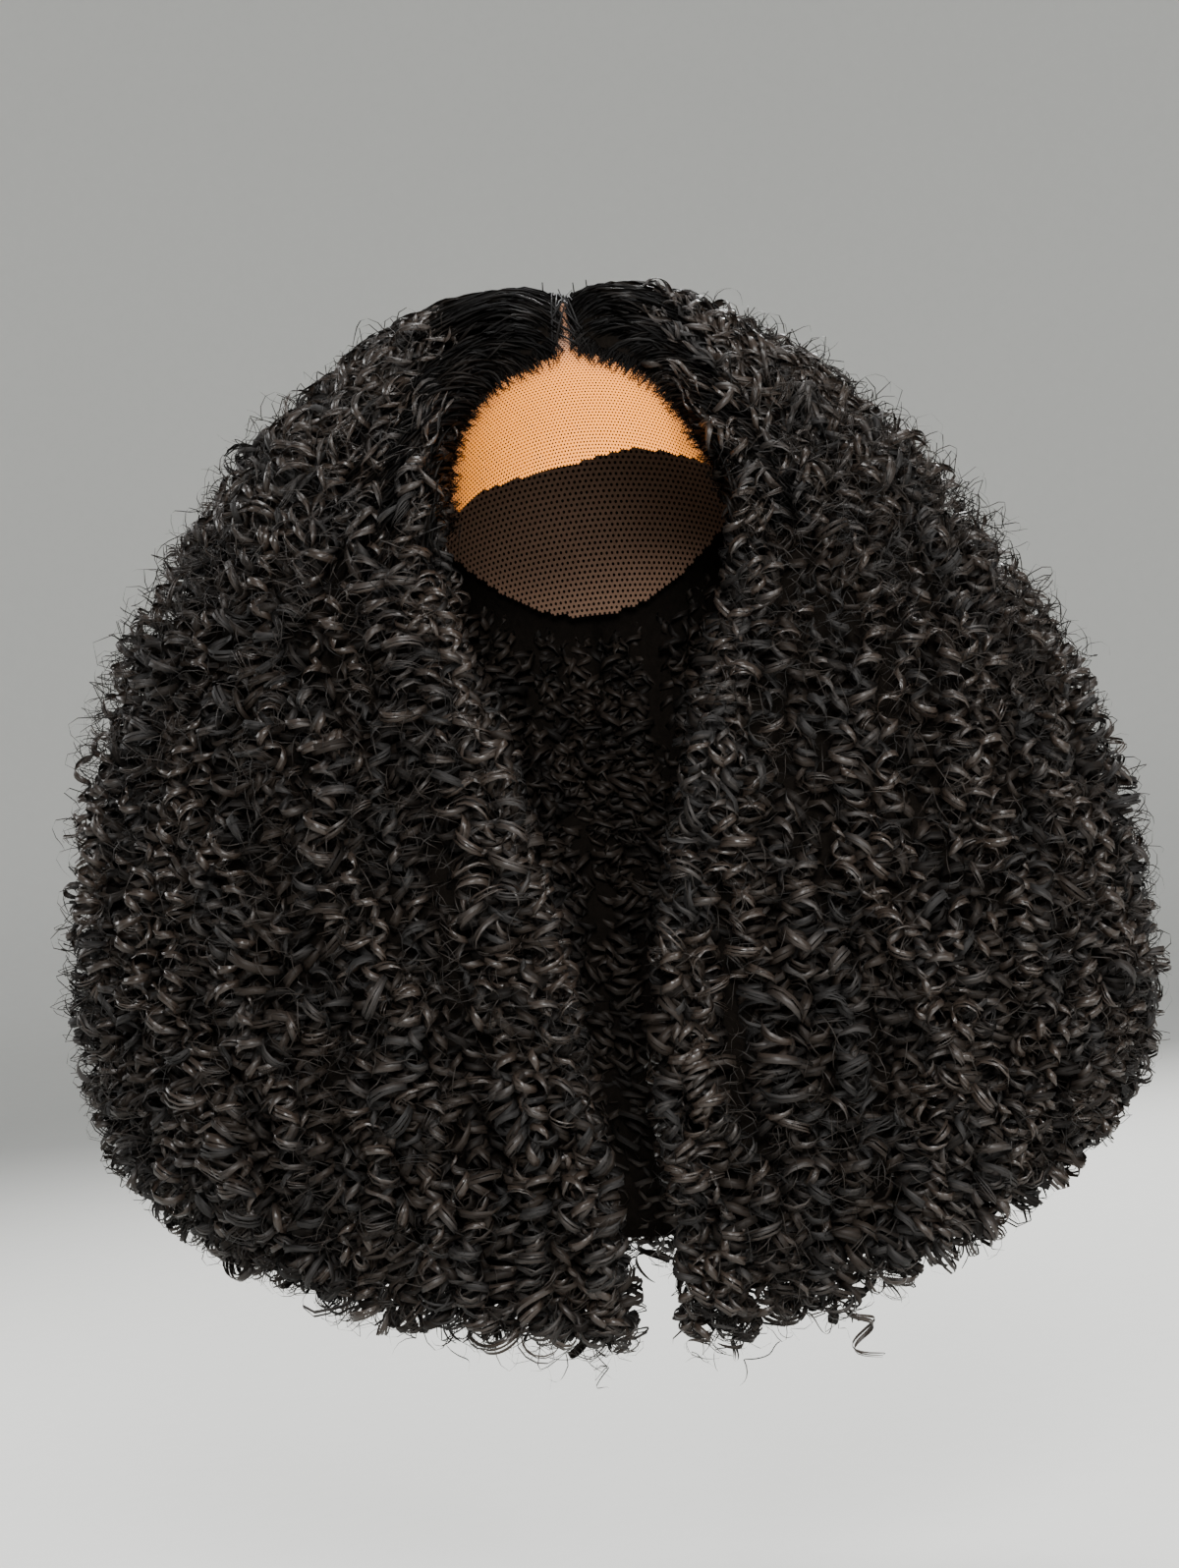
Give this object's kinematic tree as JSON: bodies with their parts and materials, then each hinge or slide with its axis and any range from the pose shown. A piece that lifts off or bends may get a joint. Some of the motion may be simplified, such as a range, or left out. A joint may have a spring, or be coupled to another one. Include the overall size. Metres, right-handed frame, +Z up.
{
  "type": "curly lace closure wig",
  "caption": "Full curly wig with a centre parting: black ringlets on a hollow cap, with a sheer uncut lace front over the forehead.",
  "frame": {"origin": "the crown point on the inside of the cap, where the top of a head touches it", "axes": "+Z up, -Y the way the face looks, +X to the right as seen from the front"},
  "size_m": [0.4821, 0.3685, 0.4748],
  "materials": {
    "cap_net": "matte stretch net, brown",
    "lace": "fine sheer net, warm beige",
    "closure_hair": "glossy black hair, sleek at the roots and tightly curled below",
    "weft_hair": "glossy black hair in tight ringlets"
  },
  "bodies": {
    "root": {"wig_cap": "cap_net", "lace_closure": "lace", "closure_hair_left": "closure_hair", "closure_hair_right": "closure_hair", "weft_hair": "weft_hair"}
  },
  "joints": []
}
